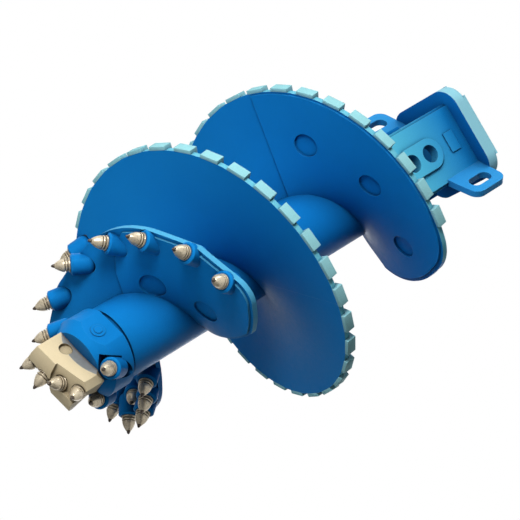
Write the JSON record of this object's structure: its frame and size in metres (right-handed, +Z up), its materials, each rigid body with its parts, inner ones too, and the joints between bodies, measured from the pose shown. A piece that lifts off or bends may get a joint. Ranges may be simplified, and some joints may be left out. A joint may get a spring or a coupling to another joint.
{
  "type": "rock drilling auger",
  "caption": "Rotary rock auger with a square kelly box, helical flights with a second starter flight, conical picks and a pinned pilot bit.",
  "frame": {"origin": "centre of the upper kelly pin bore, on the auger's turning axis", "axes": "+Z up the turning axis towards the open end of the kelly box, tip down; -Y out of the box face that carries the blank plate"},
  "size_m": [1.0463, 1.0494, 2.0181],
  "materials": {
    "blue_paint": "semi-gloss",
    "pilot_paint": "satin",
    "pick_steel": "satin",
    "pin_steel": "semi-gloss"
  },
  "bodies": {
    "auger": {"base_plate": "blue_paint", "blank_plate": "blue_paint", "box_wall_far": "blue_paint", "box_wall_left": "blue_paint", "box_wall_near": "blue_paint", "box_wall_right": "blue_paint", "doubler_far": "blue_paint", "doubler_left": "blue_paint", "doubler_near": "blue_paint", "doubler_right": "blue_paint", "end_face": "blue_paint", "flange": "blue_paint", "holders_main": "blue_paint", "holders_socket": "blue_paint", "holders_tip": "blue_paint", "lug_left": "blue_paint", "lug_right": "blue_paint", "main_flight": "blue_paint", "pads_lower": "blue_paint", "pads_middle": "blue_paint", "pads_upper": "blue_paint", "pilot_bit": "pilot_paint", "pilot_pin": "pin_steel", "pilot_socket": "blue_paint", "stem": "blue_paint", "tip_flight": "blue_paint", "tip_overlay": "blue_paint", "top_flight": "blue_paint", "top_overlay": "blue_paint", "upper_flight": "blue_paint"},
    "body_main_1": {"pick_main_1": "pick_steel"},
    "body_main_2": {"pick_main_2": "pick_steel"},
    "body_main_3": {"pick_main_3": "pick_steel"},
    "body_main_4": {"pick_main_4": "pick_steel"},
    "body_main_5": {"pick_main_5": "pick_steel"},
    "body_main_6": {"pick_main_6": "pick_steel"},
    "body_main_7": {"pick_main_7": "pick_steel"},
    "body_main_8": {"pick_main_8": "pick_steel"},
    "body_main_9": {"pick_main_9": "pick_steel"},
    "body_pilot_1": {"pick_pilot_1": "pick_steel"},
    "body_pilot_2": {"pick_pilot_2": "pick_steel"},
    "body_pilot_3": {"pick_pilot_3": "pick_steel"},
    "body_pilot_4": {"pick_pilot_4": "pick_steel"},
    "body_socket_1": {"pick_socket_1": "pick_steel"},
    "body_socket_2": {"pick_socket_2": "pick_steel"},
    "body_socket_3": {"pick_socket_3": "pick_steel"},
    "body_tip_1": {"pick_tip_1": "pick_steel"},
    "body_tip_2": {"pick_tip_2": "pick_steel"},
    "body_tip_3": {"pick_tip_3": "pick_steel"},
    "body_tip_4": {"pick_tip_4": "pick_steel"},
    "body_tip_5": {"pick_tip_5": "pick_steel"},
    "body_tip_6": {"pick_tip_6": "pick_steel"}
  },
  "joints": [
    {"name": "turn_main_1", "type": "hinge", "parent": "auger", "child": "body_main_1", "pos_m": [0.17193, 0.11165, -1.35638], "axis": [0.4968, -0.2504, -0.831], "continuous": true},
    {"name": "turn_main_2", "type": "hinge", "parent": "auger", "child": "body_main_2", "pos_m": [0.22149, 0.17936, -1.34782], "axis": [0.5203, -0.197, -0.831], "continuous": true},
    {"name": "turn_main_3", "type": "hinge", "parent": "auger", "child": "body_main_3", "pos_m": [0.25968, 0.25077, -1.34068], "axis": [0.5355, -0.151, -0.831], "continuous": true},
    {"name": "turn_main_4", "type": "hinge", "parent": "auger", "child": "body_main_4", "pos_m": [0.19766, 0.31632, -1.29969], "axis": [0.2818, -0.5635, -0.7766], "continuous": true},
    {"name": "turn_main_5", "type": "hinge", "parent": "auger", "child": "body_main_5", "pos_m": [0.25443, 0.37721, -1.32354], "axis": [0.78, -0.0792, -0.6208], "continuous": true},
    {"name": "turn_main_6", "type": "hinge", "parent": "auger", "child": "body_main_6", "pos_m": [0.19727, 0.44307, -1.31027], "axis": [0.662, 0.2087, -0.7199], "continuous": true},
    {"name": "turn_main_7", "type": "hinge", "parent": "auger", "child": "body_main_7", "pos_m": [0.01731, 0.4957, -1.26786], "axis": [0.5356, 0.4415, -0.7199], "continuous": true},
    {"name": "turn_main_8", "type": "hinge", "parent": "auger", "child": "body_main_8", "pos_m": [-0.16964, 0.46609, -1.23044], "axis": [0.3312, 0.61, -0.7199], "continuous": true},
    {"name": "turn_main_9", "type": "hinge", "parent": "auger", "child": "body_main_9", "pos_m": [-0.32409, 0.37283, -1.19446], "axis": [0.0906, 0.6882, -0.7199], "continuous": true},
    {"name": "turn_pilot_1", "type": "hinge", "parent": "auger", "child": "body_pilot_1", "pos_m": [-0.07528, 0.0643, -1.693], "axis": [-0.0737, 0.471, -0.879], "continuous": true},
    {"name": "turn_pilot_2", "type": "hinge", "parent": "auger", "child": "body_pilot_2", "pos_m": [0.07528, -0.0643, -1.693], "axis": [0.0737, -0.471, -0.879], "continuous": true},
    {"name": "turn_pilot_3", "type": "hinge", "parent": "auger", "child": "body_pilot_3", "pos_m": [-0.02493, 0.02868, -1.7115], "axis": [0.3436, 0.2987, -0.8903], "continuous": true},
    {"name": "turn_pilot_4", "type": "hinge", "parent": "auger", "child": "body_pilot_4", "pos_m": [0.02493, -0.02868, -1.7115], "axis": [-0.3436, -0.2987, -0.8903], "continuous": true},
    {"name": "turn_socket_1", "type": "hinge", "parent": "auger", "child": "body_socket_1", "pos_m": [0.0606, -0.13612, -1.5965], "axis": [-0.1752, -0.6141, -0.7696], "continuous": true},
    {"name": "turn_socket_2", "type": "hinge", "parent": "auger", "child": "body_socket_2", "pos_m": [0.13125, 0.04264, -1.5865], "axis": [-0.0483, -0.5015, -0.8638], "continuous": true},
    {"name": "turn_socket_3", "type": "hinge", "parent": "auger", "child": "body_socket_3", "pos_m": [-0.12353, 0.08332, -1.5965], "axis": [-0.1769, 0.6136, -0.7696], "continuous": true},
    {"name": "turn_tip_1", "type": "hinge", "parent": "auger", "child": "body_tip_1", "pos_m": [-0.21721, 0.20255, -1.46489], "axis": [-0.1334, 0.588, -0.7978], "continuous": true},
    {"name": "turn_tip_2", "type": "hinge", "parent": "auger", "child": "body_tip_2", "pos_m": [-0.28855, 0.05088, -1.41778], "axis": [-0.4322, 0.4205, -0.7978], "continuous": true},
    {"name": "turn_tip_3", "type": "hinge", "parent": "auger", "child": "body_tip_3", "pos_m": [-0.28777, -0.12812, -1.36923], "axis": [-0.5934, 0.1069, -0.7978], "continuous": true},
    {"name": "turn_tip_4", "type": "hinge", "parent": "auger", "child": "body_tip_4", "pos_m": [-0.23754, -0.26382, -1.33497], "axis": [-0.5856, -0.1437, -0.7978], "continuous": true},
    {"name": "turn_tip_5", "type": "hinge", "parent": "auger", "child": "body_tip_5", "pos_m": [-0.13511, -0.39239, -1.30213], "axis": [-0.4829, -0.3611, -0.7978], "continuous": true},
    {"name": "turn_tip_6", "type": "hinge", "parent": "auger", "child": "body_tip_6", "pos_m": [0, -0.448, -1.275], "axis": [-0.3391, -0.4986, -0.7978], "continuous": true}
  ]
}
